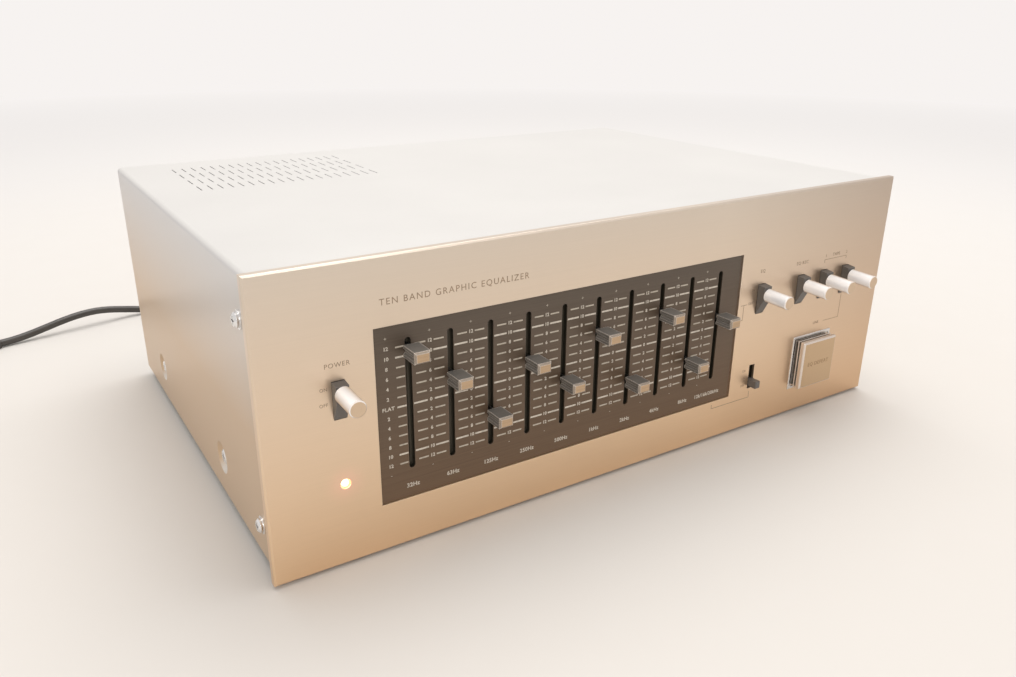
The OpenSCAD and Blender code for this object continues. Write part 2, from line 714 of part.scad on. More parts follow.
// centre line seen from above
drop_y = rear_y + 16;                                     // first bend starts
slope_y = drop_y + drop_r * cos45;                        // slope starts
slope_fall = cord_z - cord_h - 2 * drop_r * (1 - cos45);  // height lost on the slope
table_y = slope_y + slope_fall + drop_r * cos45;          // reaches the table
turn_y = 242.7;                                           // table bend starts
turn_end_x = cord_x - table_r + table_r * cos(cord_turn);
turn_end_y = turn_y + table_r * sin(cord_turn);
module cord_bend(turn, r) {
  rotate_extrude(angle = turn) translate([r, 0]) circle(r = cord_r + 0.1);
}
module mains_cord() {
  lap = 0.6;                  // how far each straight run goes into the bends
  inside = 30;                // length inside the rear panel
  plug_z = 3.8;               // plug centre above the cord's centre
  blade_h = 6.3;
  blade_t = 1.5;
  color([0.06, 0.06, 0.06]) union() {
    // inside the case and out through the strain relief
    translate([cord_x, rear_y - inside, cord_z]) rotate([-90, 0, 0])
      cylinder(r = cord_r, h = drop_y - rear_y + inside + lap);
    // two bends and a slope down to the table
    translate([cord_x, drop_y, cord_z - drop_r]) rotate([0, -90, 0]) cord_bend(45, drop_r);
    translate([cord_x, slope_y, cord_z - drop_r * (1 - cos45)]) rotate([-135, 0, 0])
      translate([0, 0, -lap]) cylinder(r = cord_r, h = slope_fall / cos45 + 2 * lap);
    translate([cord_x, table_y, cord_h + drop_r]) rotate([180, 0, 0]) rotate([0, -90, 0])
      cord_bend(45, drop_r);
    // along the table, round to the left
    translate([cord_x, table_y - lap, cord_h]) rotate([-90, 0, 0])
      cylinder(r = cord_r, h = turn_y - table_y + 2 * lap);
    translate([cord_x - table_r, turn_y, cord_h]) cord_bend(cord_turn, table_r);
    translate([turn_end_x, turn_end_y, cord_h]) rotate([0, 0, 90 + cord_turn]) {
      translate([-lap, 0, 0]) rotate([0, 90, 0]) cylinder(r = cord_r, h = cord_len + 2 * lap);
      // moulded plug with two flat blades
      translate([cord_len, 0, 0]) rotate([90, 0, 90]) linear_extrude(height = 11.5)
        rounded_rect(9, 6.5, 1.2);
      translate([cord_len + 11, 0, plug_z]) rotate([90, 0, 90]) linear_extrude(height = 24)
        rounded_rect(22, 14, 3);
      for (a = [-6.35, 6.35])
        translate([cord_len + 34, a - blade_t / 2, plug_z - blade_h / 2])
          cube([16, blade_t, blade_h]);
    }
  }
}

// ---------------------------------------------------------------- feet and screws
foot_seat = 5.2;              // height of the screw seat in a foot
module feet() {
  color([0.09, 0.09, 0.09]) for (x = foot_x, y = foot_y) translate([x, y, 0]) difference() {
    rotate_extrude() polygon([[0, 0], [12.4, 0], [13, 0.6], [14, base_z], [0, base_z]]);
    translate([0, 0, -1]) cylinder(r = 4.6, h = 3.0);
    translate([0, 0, 1]) cylinder(r = 4.3, h = foot_seat - 1);
    translate([0, 0, -1]) cylinder(r = 2.1, h = 20);
  }
}
module m3_screws() {
  color([0.78, 0.78, 0.80]) {
    for (s = [-1, 1], y = dish_y) translate([s * (cover_x - dish_d + 0.02), y, dish_z])
      rotate([0, s * 90, 0]) pan_screw(1.45, 4.4, 2.0, 6);
    for (p = board_pegs) translate([p[0], p[1], board_top]) pan_screw(1.2, 2.8, 1.7, 6);
    for (x = jack_screw_x) translate([x, rear_y + jack_plate_t, jack_mid_z])
      rotate([-90, 0, 0]) pan_screw(1.45, 2.8, 1.7, 6);
  }
}
module m4_screws() {
  r = 1.9;
  color([0.84, 0.84, 0.86]) {
    for (s = [-1, 1], z = side_screw_z) translate([s * (cover_x + washer_t), side_screw_y, z])
      rotate([0, s * 90, 0]) pan_screw(r, 3.5, 2.2, 8);
    for (x = foot_x, y = foot_y) translate([x, y, foot_seat])
      rotate([180, 0, 0]) pan_screw(r, 3.9, 2.2, 8);
    for (x = core_screw_x) translate([x, core_y, base_top + core_clamp_t])
      pan_screw(r, 3.9, 2.2, 4.4);
  }
}
module side_washers() {
  color([0.80, 0.80, 0.82]) for (s = [-1, 1], z = side_screw_z)
    translate([side_x0(s, cover_x + washer_t, washer_t), side_screw_y, z])
      rotate([0, 90, 0]) difference() {
        cylinder(r = 4.4, h = washer_t);
        translate([0, 0, -1]) cylinder(r = 2.2, h = 3);
      }
}

// ---------------------------------------------------------------- wiring
// upright wire from a board to just above the centre of a level wire at height z
module riser(x, y, z, r) {
  translate([x, y, board_top]) cylinder(r = r, h = z - board_top + 0.9);
}
module wiring() {
  coil_wire_z = 34;
  power_wire_z = 84;
  wire_r = 1.3;
  cable_y = sub_y + pot_d + board_t;   // back of the slider board
  color([0.70, 0.12, 0.08]) {
    // between the two boards
    union() {
      x_rod(-72, 2, -60, board_top + 4, 1.8);
      for (x = [-78, -6]) translate([x, -64, board_top]) cube([8, 8, 7]);
    }
    // from the transformer to the power board
    for (x = [-130, -120, -110]) union() {
      y_rod(x, 0, core_y - coil_d / 2 - 0.1, coil_wire_z, 1.2);
      riser(x, 0.6, coil_wire_z, 1.2);
    }
    // from the mains cord to the power board
    union() {
      x_rod(-180, cord_x + 2, rear_y - 31.5, cord_z, wire_r);
      y_rod(-179, 1, rear_y - 30.4, cord_z, wire_r);
      riser(-179, 2, cord_z, wire_r);
    }
    // from the power switch to the power board
    union() {
      y_rod(-173, sub_y + switch_d + 4.5, -90, power_wire_z, wire_r);
      riser(-173, -91, power_wire_z, wire_r);
    }
    // flat cables from the slider board to the main board; points are [y, z]
    for (x = [4, 40]) translate([x, 0, 0]) rotate([90, 0, 90]) linear_extrude(height = 26)
      polygon([[cable_y, 33], [cable_y + 4.4, 33], [-100.6, board_top + 5],
        [-100.6, board_top], [-99.4, board_top], [-99.4, board_top + 6],
        [cable_y + 5, 34.4], [cable_y, 34.4]]);
  }
}

front_panel();
slider_plate();
sub_panel();
top_cover();
chassis_base();
rear_panel();
slider_cap(1);  // slider_cap_1
slider_cap(2);  // slider_cap_2
slider_cap(3);  // slider_cap_3
slider_cap(4);  // slider_cap_4
slider_cap(5);  // slider_cap_5
slider_cap(6);  // slider_cap_6
slider_cap(7);  // slider_cap_7
slider_cap(8);  // slider_cap_8
slider_cap(9);  // slider_cap_9
slider_cap(10);  // slider_cap_10
slider_arm(1);  // slider_arm_1
slider_arm(2);  // slider_arm_2
slider_arm(3);  // slider_arm_3
slider_arm(4);  // slider_arm_4
slider_arm(5);  // slider_arm_5
slider_arm(6);  // slider_arm_6
slider_arm(7);  // slider_arm_7
slider_arm(8);  // slider_arm_8
slider_arm(9);  // slider_arm_9
slider_arm(10);  // slider_arm_10
slide_pots();
slider_board();
lever_knob(0);  // power_knob
lever_shank(0);  // power_shank
lever_knob(1);  // lever_knob_1
lever_shank(1);  // lever_shank_1
lever_knob(2);  // lever_knob_2
lever_shank(2);  // lever_shank_2
lever_knob(3);  // lever_knob_3
lever_shank(3);  // lever_shank_3
lever_knob(4);  // lever_knob_4
lever_shank(4);  // lever_shank_4
lever_switches();
band_lever();
band_switch();
pilot_lamp();
push_button();
button_collar();
button_switch();
button_spring();
main_board();
power_board();
transformer();
capacitors();
jack_plate();
phono_jacks();
ground_terminal();
strain_relief();
mains_cord();
feet();
m3_screws();
m4_screws();
side_washers();
wiring();
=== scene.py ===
"""Looks for a ten-band graphic equalizer in a flat metal case.

The front panel faces -Y, the jacks and mains cord leave at +Y, +X is to the right seen
from the front, and the table is z = 0. CAD boxes, shaders and lights are in metres;
printing, cord, plug and jack rings are laid out in millimetres and scaled by MM.
"""
import bpy, bmesh, json, math
from mathutils import Vector, Matrix


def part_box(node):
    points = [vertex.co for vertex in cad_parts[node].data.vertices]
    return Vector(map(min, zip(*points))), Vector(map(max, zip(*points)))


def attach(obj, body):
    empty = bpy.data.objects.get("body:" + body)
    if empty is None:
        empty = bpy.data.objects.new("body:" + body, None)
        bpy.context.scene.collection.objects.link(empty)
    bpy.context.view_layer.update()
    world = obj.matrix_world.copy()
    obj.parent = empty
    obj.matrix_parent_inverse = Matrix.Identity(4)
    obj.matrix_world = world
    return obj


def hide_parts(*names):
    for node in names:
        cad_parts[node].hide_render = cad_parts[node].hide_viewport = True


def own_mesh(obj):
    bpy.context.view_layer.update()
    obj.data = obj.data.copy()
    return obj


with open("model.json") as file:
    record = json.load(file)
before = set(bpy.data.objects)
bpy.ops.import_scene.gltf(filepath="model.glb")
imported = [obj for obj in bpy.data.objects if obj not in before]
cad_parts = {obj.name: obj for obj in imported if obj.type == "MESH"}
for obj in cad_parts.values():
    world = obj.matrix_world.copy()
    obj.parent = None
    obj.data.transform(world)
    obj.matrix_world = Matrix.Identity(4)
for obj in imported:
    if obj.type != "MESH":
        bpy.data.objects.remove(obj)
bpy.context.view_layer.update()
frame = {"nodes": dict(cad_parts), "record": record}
SCENE = bpy.context.scene
MM = 0.001

BUTTON_FACE_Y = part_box("push_button")[0].y    # metres
PANEL_BOTTOM = 1.5                            # mm, bottom edge of the front panel
REAR_Y = 143.8                                # mm, rear of the case
BACKDROP = (0.93, 0.895, 0.875)
LIGHT_COLOR = (1.0, 0.98, 0.96)
SLOT = {part["node"]: part["material_slot"] for part in frame["record"]["subparts"]}


# ------------------------------------------------------------------ shader helper
MATERIALS = {}
NOISE_SPAN = (0.3, 0.7)       # where most noise values fall


def shade(color, gain, lift=0.0):
    """A colour multiplied and lifted, held at 1."""
    return tuple(min(1, c * gain + lift) for c in color)


class Mat:
    """Builds one node material around a Principled shader and files it in MATERIALS."""

    def __init__(self, name):
        material = bpy.data.materials.new(name)
        material.use_nodes = True
        MATERIALS[name] = material
        self.tree = material.node_tree
        self.tree.nodes.clear()
        self.out = self.node("ShaderNodeOutputMaterial")
        self.shader = self.node("ShaderNodeBsdfPrincipled")
        self.put(self.out.inputs[0], self.shader.outputs[0])
        self.coords = self.node("ShaderNodeTexCoord").outputs["Object"]

    def node(self, kind, **settings):
        node = self.tree.nodes.new(kind)
        for key, value in settings.items():
            setattr(node, key, value)
        return node

    def put(self, socket, value):
        """Feed an input with a number, an RGB colour or another node's output."""
        if isinstance(value, (int, float)):
            socket.default_value = value
        elif isinstance(value, tuple):
            socket.default_value = (*value, 1)
        else:
            self.tree.links.new(value, socket)

    def set(self, **values):
        """Feed Principled inputs; underscores stand for spaces."""
        for key, value in values.items():
            self.put(self.shader.inputs[key.replace("_", " ")], value)

    def noise(self, scale, detail, rough, stretch=(1, 1, 1)):
        mapping = self.node("ShaderNodeMapping")
        mapping.inputs["Scale"].default_value = stretch
        self.put(mapping.inputs["Vector"], self.coords)
        noise = self.node("ShaderNodeTexNoise")
        for key, value in (("Scale", scale), ("Detail", detail), ("Roughness", rough),
                           ("Vector", mapping.outputs[0])):
            self.put(noise.inputs[key], value)
        return noise.outputs["Fac"]

    def ramp(self, value, *stops):
        """Colour ramp; each stop is (position, colour)."""
        ramp = self.node("ShaderNodeValToRGB")
        elements = ramp.color_ramp.elements
        while len(elements) < len(stops):
            elements.new(0.5)
        for i, (position, color) in enumerate(stops):
            elements[i].position = position
            elements[i].color = (*color, 1)
        self.put(ramp.inputs[0], value)
        return ramp.outputs[0]

    def remap(self, value, source, target=(0.0, 1.0)):
        node = self.node("ShaderNodeMapRange")
        for i, number in enumerate((value, *source, *target)):
            self.put(node.inputs[i], number)
        return node.outputs[0]

    def math(self, operation, *values):
        node = self.node("ShaderNodeMath", operation=operation)
        for socket, value in zip(node.inputs, values):
            self.put(socket, value)
        return node.outputs[0]

    def product(self, first, *others):
        for other in others:
            first = self.math("MULTIPLY", first, other)
        return first

    def blend(self, a, b):
        return self.math("ADD", self.product(a, 0.6), self.product(b, 0.4))

    def mix(self, factor, a, b, kind="MIX"):
        node = self.node("ShaderNodeMix", data_type="RGBA", blend_type=kind)
        for i, value in ((0, factor), (6, a), (7, b)):
            self.put(node.inputs[i], value)
        return node.outputs[2]

    def tint(self, factor, color, tint):
        """Multiply the colour by a tint where factor is 1."""
        return self.mix(factor, color, self.mix(1.0, color, tint, "MULTIPLY"))

    def xyz(self, vector=None):
        node = self.node("ShaderNodeSeparateXYZ")
        self.put(node.inputs[0], vector or self.coords)
        return node.outputs

    def within(self, x_span, z_span, behind_y):
        """1 inside a box of X and Z and behind a Y, in millimetres."""
        x, y, z = self.xyz()
        tests = [self.math("GREATER_THAN", y, behind_y * MM)]
        for value, (low, high) in ((x, x_span), (z, z_span)):
            tests.append(self.math("GREATER_THAN", value, low * MM))
            tests.append(self.math("LESS_THAN", value, high * MM))
        return self.product(*tests)

    def band(self, low, high):
        """1 where Y lies between low and high, in metres."""
        y = self.xyz()[1]
        return self.product(self.math("GREATER_THAN", y, low), self.math("LESS_THAN", y, high))

    def near(self, x, z, inner, outer):
        """0.6 within inner of the point x, z, falling to 0 at outer, in millimetres."""
        here = self.xyz()
        dx = self.math("SUBTRACT", here[0], x * MM)
        dz = self.math("SUBTRACT", here[2], z * MM)
        squares = self.math("ADD", self.product(dx, dx), self.product(dz, dz))
        closeness = self.remap(self.math("SQRT", squares), (inner * MM, outer * MM), (1.0, 0.0))
        return self.product(closeness, closeness, 0.6)

    def normal(self, axis, span):
        """0 to 1 as the object-space normal's component crosses span."""
        normal = self.node("ShaderNodeTexCoord").outputs["Normal"]
        return self.remap(self.xyz(normal)[axis], span)

    def grazing(self, blend):
        """0 seen face on, towards 1 at grazing angles."""
        weight = self.node("ShaderNodeLayerWeight")
        weight.inputs["Blend"].default_value = blend
        return weight.outputs["Facing"]

    def bevel(self, radius):
        node = self.node("ShaderNodeBevel", samples=6)
        node.inputs["Radius"].default_value = radius
        return node.outputs[0]

    def worn(self, color, radius, amount, edge):
        """Mix in the edge colour within radius of the edges: rubbed edges, and where the edge
        colour is bright a painted highlight.
        """
        dot = self.node("ShaderNodeVectorMath", operation="DOT_PRODUCT")
        self.put(dot.inputs[0], self.bevel(radius))
        geometry = self.node("ShaderNodeNewGeometry")
        self.put(dot.inputs[1], geometry.outputs["True Normal"])
        edges = self.remap(dot.outputs["Value"], (0.99, 0.80))
        return self.mix(self.product(edges, amount), color, edge)

    def bump(self, height, strength, distance, edge_radius=0.0):
        node = self.node("ShaderNodeBump")
        node.inputs["Strength"].default_value = strength
        node.inputs["Distance"].default_value = distance
        self.put(node.inputs["Height"], height)
        if edge_radius:
            self.put(node.inputs["Normal"], self.bevel(edge_radius))
        self.set(Normal=node.outputs[0])


# ------------------------------------------------------------------ kinds of material
def brushed(name, dark, light, edge, rough, metallic, rub_and_glint, edge_radius, coarse=1.0,
            grain_axis=0, low=None, rim=None, front=None, right=None, halo=None,
            recess=None, grooves=()):
    """Metal with a drawn grain along one axis, rubbed along its edges; where the edge colour is
    far brighter than the metal, as on the slider caps, it is a painted highlight.

    low and right are (from, to, tint) along Z and X: low paints a warm reflection of the table
    towards the bottom, right paints shade towards the right end. rim and front are tints: rim is
    a warm painted reflection at grazing angles, front paints light and shade on faces that look
    to the front.
    halo is (place, colour), the pilot lamp's light painted around it; recess and grooves are
    painted shade, dark and non-metallic.
    """
    m = Mat(name)

    def grain(across, along, detail, rough):
        stretch = [across] * 3
        stretch[grain_axis] = along
        return m.noise(1.0, detail, rough, stretch)

    fine = grain(across=5200.0, along=14.0, detail=4, rough=0.65)
    broad = grain(across=1500.0 * coarse, along=9.0, detail=3, rough=0.5)
    blotches = m.noise(9.0, detail=3, rough=0.6)
    both = m.blend(fine, broad)
    color = m.ramp(both, (0.36, dark), (0.64, light))
    # Painted light and shade: tints by height, viewing angle, facing and X, and the pilot lamp's
    # light painted around it.
    if low:
        color = m.tint(m.remap(m.xyz()[2], low[:2], (1.0, 0.0)), color, low[2])
    if rim:
        color = m.tint(m.remap(m.grazing(0.5), (0.45, 0.85)), color, rim)
    if front:
        color = m.tint(m.normal(axis=1, span=(-0.62, -0.90)), color, front)
    if right:
        color = m.tint(m.remap(m.xyz()[0], right[:2]), color, right[2])
    if halo:
        place, glow = halo
        color = m.mix(m.near(**place), color, glow)
    # Rubbed edges; where the edge colour is bright it is a painted highlight.
    color = m.worn(color, edge_radius * 3.0, rub_and_glint, edge)
    # Painted shade: the grooves and the recess get a dark colour and lose their metal.
    masks = [(m.band(*groove), (0.060, 0.054, 0.048)) for groove in grooves]
    if recess:
        masks.append((m.within(**recess), (0.030, 0.027, 0.018)))
    m.set(Metallic=metallic)
    metal = metallic
    for mask, shade_color in masks:
        color = m.mix(mask, color, shade_color)
        metal = m.math("SUBTRACT", metal, m.product(mask, metallic))
    roughness = m.math("ADD", m.remap(both, NOISE_SPAN, rough),
                       m.remap(blotches, NOISE_SPAN, (-0.03, 0.04)))
    m.set(Base_Color=color, Roughness=roughness, Metallic=metal)
    m.bump(fine, strength=0.10, distance=0.00003, edge_radius=edge_radius)


def plated(name, base, rough, metallic=1.0):
    """Plated or rolled sheet metal: soft blotches and fine rolling scratches."""
    m = Mat(name)
    edge_radius = 0.00015
    blotches = m.noise(60.0, detail=4, rough=0.6)
    scratches = m.noise(1.0, detail=3, rough=0.6, stretch=(900.0, 60.0, 900.0))
    color = m.ramp(m.blend(blotches, scratches), (0.35, shade(base, 0.85)), (0.65, base))
    m.set(Base_Color=m.worn(color, edge_radius * 3, 0.5, shade(base, 1.2, 0.04)),
          Roughness=m.remap(scratches, NOISE_SPAN, (rough - 0.06, rough + 0.08)),
          Metallic=metallic)
    m.bump(blotches, strength=0.08, distance=0.00005, edge_radius=edge_radius)


def plastic(name, base, rough=0.42, grain=2200.0, depth=0.00003, strength=0.35, coat=0.0):
    """Moulded plastic or rubber: fine grain, a little dust, paler edges."""
    m = Mat(name)
    edge_radius = 0.00025
    texture = m.noise(grain, detail=2, rough=0.5)
    dust = m.noise(35.0, detail=4, rough=0.65)
    color = m.ramp(dust, (0.38, base), (0.72, shade(base, 1.25, 0.012)))
    m.set(Base_Color=m.worn(color, edge_radius * 2.5, 0.45, shade(base, 1.6, 0.03)),
          Roughness=m.remap(dust, NOISE_SPAN, (rough - 0.06, rough + 0.08)),
          Coat_Weight=coat)
    m.bump(texture, strength, depth, edge_radius)


def paint(name, base, metallic, rough, sides=None):
    """Satin enamel on sheet steel: orange peel, faint specks, rubbed edges.

    sides is (z from, z to, low tint, high tint) for faces that don't look up: painted shade on
    them, warm towards the bottom as a painted reflection of the table.
    """
    m = Mat(name)
    peel = m.noise(900.0, detail=2, rough=0.45)
    clouds = m.noise(12.0, detail=4, rough=0.6)
    specks = m.noise(1600.0, detail=1, rough=0.5)
    color = m.ramp(clouds, (0.35, shade(base, 0.975)), (0.65, base))
    color = m.mix(m.remap(specks, (0.70, 0.76), (0.0, 0.5)), color, shade(base, 0.75))
    # Painted shade on faces that don't look up, warm low down as a painted reflection of the
    # table.
    if sides:
        z_from, z_to, low, high = sides
        tint = m.mix(m.remap(m.xyz()[2], (z_from, z_to), (1.0, 0.0)), high, low)
        color = m.tint(m.normal(axis=2, span=(0.75, 0.35)), color, tint)
    m.set(Base_Color=m.worn(color, 0.0007, 0.35, shade(base, 1.12)),
          Roughness=m.remap(clouds, NOISE_SPAN, (rough - 0.012, rough + 0.015)),
          Metallic=metallic)
    m.bump(peel, strength=0.12, distance=0.00006, edge_radius=0.0003)


def ink(name, base):
    """Printed ink, slightly uneven."""
    m = Mat(name)
    mottle = m.noise(700.0, detail=3, rough=0.6)
    m.set(Base_Color=m.ramp(mottle, (0.30, shade(base, 0.72)), (0.60, base)),
          Roughness=m.remap(mottle, NOISE_SPAN, (0.5, 0.7)))
    m.bump(mottle, strength=0.2, distance=0.00002)


def lamp(name):
    """Clear orange pilot lens, white-hot in the middle."""
    m = Mat(name)
    graze = m.grazing(0.55)
    glow = m.ramp(graze, (0.05, (1.0, 0.90, 0.74)), (0.38, (1.0, 0.66, 0.38)),
                  (0.80, (0.95, 0.34, 0.12)))
    mottle = m.noise(900.0, detail=2, rough=0.5)
    m.set(Base_Color=m.mix(mottle, (1.0, 0.42, 0.10), (0.9, 0.30, 0.06)),
          Emission_Color=glow,
          Emission_Strength=m.remap(graze, (0.0, 0.60), (4.0, 0.9)),
          Roughness=0.12, Coat_Weight=0.6)
    m.bump(mottle, strength=0.1, distance=0.00003)


# ------------------------------------------------------------------ the materials
# Painted light on the panel: low is a warm reflection of the table near the bottom, right is
# shade towards the right end, halo is the pilot lamp's orange light and the recess mask paints
# the slot walls as shade.
brushed("panel_aluminium", dark=(0.692, 0.602, 0.505), light=(0.716, 0.624, 0.526),
        edge=(0.80, 0.73, 0.64), rough=(0.29, 0.35), metallic=0.92, rub_and_glint=0.20,
        edge_radius=0.0003, low=(0.0, 0.150, (1.20, 0.98, 0.74)),
        right=(0.06, 0.21, (0.79, 0.75, 0.73)),
        halo=(dict(x=-172.6, z=44.5, inner=2.0, outer=13.0), (1.0, 0.62, 0.47)),
        recess=dict(x_span=(-200, 200), z_span=(18, 115), behind_y=-144.42))
# low paints a warm reflection of the table, brighter and warmer towards the plate's bottom.
brushed("scale_black", dark=(0.082, 0.063, 0.047), light=(0.104, 0.083, 0.063),
        edge=(0.26, 0.22, 0.18), rough=(0.34, 0.44), metallic=0.25, rub_and_glint=0.8,
        edge_radius=0.0001, low=(0.020, 0.125, (1.48, 1.12, 0.80)))
plated("zinc_steel", (0.62, 0.62, 0.58), rough=0.36)
# The dark olive of the sub-panel seen through the slots is painted shade, matched to the shade
# inside them.
paint("black_steel", (0.11, 0.095, 0.068), metallic=0.0, rough=0.60)
# sides paints shade on the case's sides, with a warm painted reflection of the table low down.
paint("cover_paint", (0.70, 0.69, 0.665), metallic=0.45, rough=0.33,
      sides=(0.070, 0.148, (0.85, 0.635, 0.44), (0.90, 0.90, 0.93)))
# front paints the caps' faces brighter and warmer than their tops, painted light and reflection
# of the table; the full bright edge colour is a painted highlight.
brushed("cap_silver", dark=(0.19, 0.18, 0.165), light=(0.27, 0.255, 0.235),
        edge=(0.86, 0.80, 0.72), rough=(0.34, 0.46), metallic=0.55, rub_and_glint=1.0,
        edge_radius=0.00026, coarse=3.0, front=(2.1, 1.55, 1.05))
plated("arm_steel", (0.40, 0.40, 0.41), rough=0.30)
plated("control_steel", (0.58, 0.58, 0.55), rough=0.33)
plastic("board_green", (0.035, 0.11, 0.045), rough=0.38, grain=900.0, depth=0.00004, strength=0.3)
# front paints the knobs' end faces darker beige as painted shade; rim paints a warm tan at
# grazing angles as a painted reflection of the table.
brushed("knob_silver", dark=(0.95, 0.96, 0.985), light=(0.98, 0.99, 1.0),
        edge=(0.95, 0.93, 0.90), rough=(0.26, 0.36), metallic=0.22, rub_and_glint=0.06,
        edge_radius=0.0002, coarse=3.0, grain_axis=1, front=(0.62, 0.46, 0.31),
        rim=(0.60, 0.47, 0.35))
plastic("black_plastic", (0.040, 0.036, 0.034), rough=0.36)
# The shanks' black plastic is made paler as a painted sheen for the grey light on their tops.
plastic("shank_plastic", (0.105, 0.096, 0.088), rough=0.40)
# front paints the button's face darker and warmer as painted shade and reflection of the table;
# the two grooves are painted shade.
brushed("button_champagne", dark=(0.80, 0.755, 0.72), light=(0.85, 0.80, 0.77),
        edge=(0.93, 0.90, 0.87), rough=(0.28, 0.36), metallic=0.92, rub_and_glint=0.9,
        edge_radius=0.0003, coarse=1.5, front=(0.67, 0.51, 0.335),
        grooves=[(BUTTON_FACE_Y + 0.0033, BUTTON_FACE_Y + 0.0045),
                 (BUTTON_FACE_Y + 0.0053, BUTTON_FACE_Y + 0.0071)])
plated("collar_nickel", (0.74, 0.71, 0.68), rough=0.30)
plastic("board_brown", (0.36, 0.24, 0.10), rough=0.45, grain=800.0, depth=0.00005, strength=0.3)
plated("transformer_steel", (0.17, 0.155, 0.145), rough=0.45, metallic=0.6)
plastic("capacitor_blue", (0.02, 0.045, 0.16), rough=0.22, grain=300.0, strength=0.2, coat=0.4)
plated("jack_nickel", (0.78, 0.75, 0.70), rough=0.20)
plastic("cord_black", (0.045, 0.040, 0.035), rough=0.30, grain=1500.0, strength=0.25)
plastic("foot_rubber", (0.022, 0.021, 0.020), rough=0.70, grain=1200.0, depth=0.00006,
        strength=0.5)
plated("screw_zinc", (0.90, 0.90, 0.90), rough=0.20)
plastic("wire_red", (0.42, 0.03, 0.015), rough=0.35)
ink("print_pale", (0.50, 0.445, 0.36))
ink("print_bright", (0.62, 0.56, 0.47))
ink("print_dark", (0.33, 0.235, 0.155))
ink("print_brown", (0.33, 0.21, 0.10))
plastic("ring_white", (0.78, 0.77, 0.73), rough=0.35)
plastic("ring_red", (0.50, 0.025, 0.02), rough=0.35)
lamp("lamp_orange")

for name, obj in frame["nodes"].items():
    is_shank = name.startswith("lever_shank") or name in ("power_shank", "band_lever")
    obj.data.materials.clear()
    obj.data.materials.append(MATERIALS["shank_plastic" if is_shank else SLOT[name]])


# ------------------------------------------------------------------ mesh helpers
def piece(name, bm, material, body="case", solid=False, smooth=False):
    """Turn a bmesh into an object riding on a body; solid turns its faces outward."""
    if solid:
        bmesh.ops.recalc_face_normals(bm, faces=bm.faces)
    mesh = bpy.data.meshes.new(name)
    bm.to_mesh(mesh)
    bm.free()
    obj = bpy.data.objects.new(name, mesh)
    SCENE.collection.objects.link(obj)
    mesh.materials.append(MATERIALS[material])
    if smooth:
        for polygon in mesh.polygons:
            polygon.use_smooth = True
        mesh.set_sharp_from_angle(angle=math.radians(32))
    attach(obj, body)
    return obj


def add_line(bm, start, end, width, y_front, y_back):
    """A thin printed stroke between two (x, z) points, in millimetres."""
    start, end = Vector(start), Vector(end)
    along = (end - start).normalized()
    half = Vector((-along.y, along.x)) * width / 2
    corners = [start - half, end - half, end + half, start + half]
    front, back = ([bm.verts.new(Vector((p.x, y, p.y)) * MM) for p in corners]
                   for y in (y_front, y_back))
    bm.faces.new(front)
    bm.faces.new(back[::-1])
    for i in range(4):
        j = (i + 1) % 4
        bm.faces.new((front[i], back[i], back[j], front[j]))


def add_text(bm, text, size, x, z, y, depth=0.03, spacing=1.0, bold=0.0, from_rear=False):
    """Raised lettering on the XZ plane in millimetres, read from the front or the rear."""
    curve = bpy.data.curves.new("t", "FONT")
    curve.body = text
    curve.size = size * MM
    curve.align_x = curve.align_y = "CENTER"
    curve.extrude = depth * MM
    curve.resolution_u = 3
    curve.space_character = spacing
    curve.offset = bold * MM
    obj = bpy.data.objects.new("t", curve)
    SCENE.collection.objects.link(obj)
    bpy.context.view_layer.update()
    evaluated = obj.evaluated_get(bpy.context.evaluated_depsgraph_get())
    mesh = bpy.data.meshes.new_from_object(evaluated)
    mesh.transform(Matrix.Translation(Vector((x, y, z)) * MM)
                   @ Matrix.Rotation(math.pi if from_rear else 0.0, 4, "Z")
                   @ Matrix.Rotation(math.pi / 2, 4, "X"))
    bm.from_mesh(mesh)
    bpy.data.objects.remove(obj)
    bpy.data.curves.remove(curve)
    bpy.data.meshes.remove(mesh)


def circle(count):
    return [2 * math.pi * k / count for k in range(count)]


def bridge(bm, rings):
    for ring, following in zip(rings, rings[1:]):
        for k in range(len(ring)):
            j = (k + 1) % len(ring)
            bm.faces.new((ring[k], ring[j], following[j], following[k]))


def skin(bm, rings):
    """Bridge the rings and close both ends."""
    bridge(bm, rings)
    bm.faces.new(rings[0][::-1])
    bm.faces.new(rings[-1])


def sweep(bm, points, radius, sides):
    """A round closed tube along points, in metres; its frame is carried from ring to ring."""
    rings = []
    normal = None
    for i, point in enumerate(points):
        tangent = (points[min(i + 1, len(points) - 1)] - points[max(i - 1, 0)]).normalized()
        if normal is None:
            up = Vector((0, 0, 1)) if abs(tangent.z) < 0.9 else Vector((1, 0, 0))
            normal = tangent.cross(up).normalized()
        else:
            normal = (normal - tangent * normal.dot(tangent)).normalized()
        across = tangent.cross(normal)
        rings.append([bm.verts.new(point + (normal * math.cos(a) + across * math.sin(a)) * radius)
                      for a in circle(sides)])
    skin(bm, rings)


# ------------------------------------------------------------------ black slider scale (mm)
SLIDER_FIRST_X, SLIDER_PITCH = -138.1, 22.1
SLIDERS = [SLIDER_FIRST_X + SLIDER_PITCH * i for i in range(10)]
FLAT_Z = PANEL_BOTTOM + 74.5
DB_PITCH = 2.5
LEVELS = range(-12, 13, 2)    # dB
# distances from the slider's centre: far and near end, the same two for the ticks left
# of the first slider, then stroke width
MAJOR_TICK = (9.1, 2.0, 6.6, 1.9, 0.88)
MINOR_TICK = (8.9, 3.6, 6.4, 2.1, 0.74)
BANDS = ["32Hz", "63Hz", "125Hz", "250Hz", "500Hz", "1kHz", "2kHz", "4kHz", "8kHz",
         "12k/16k/20kHz"]


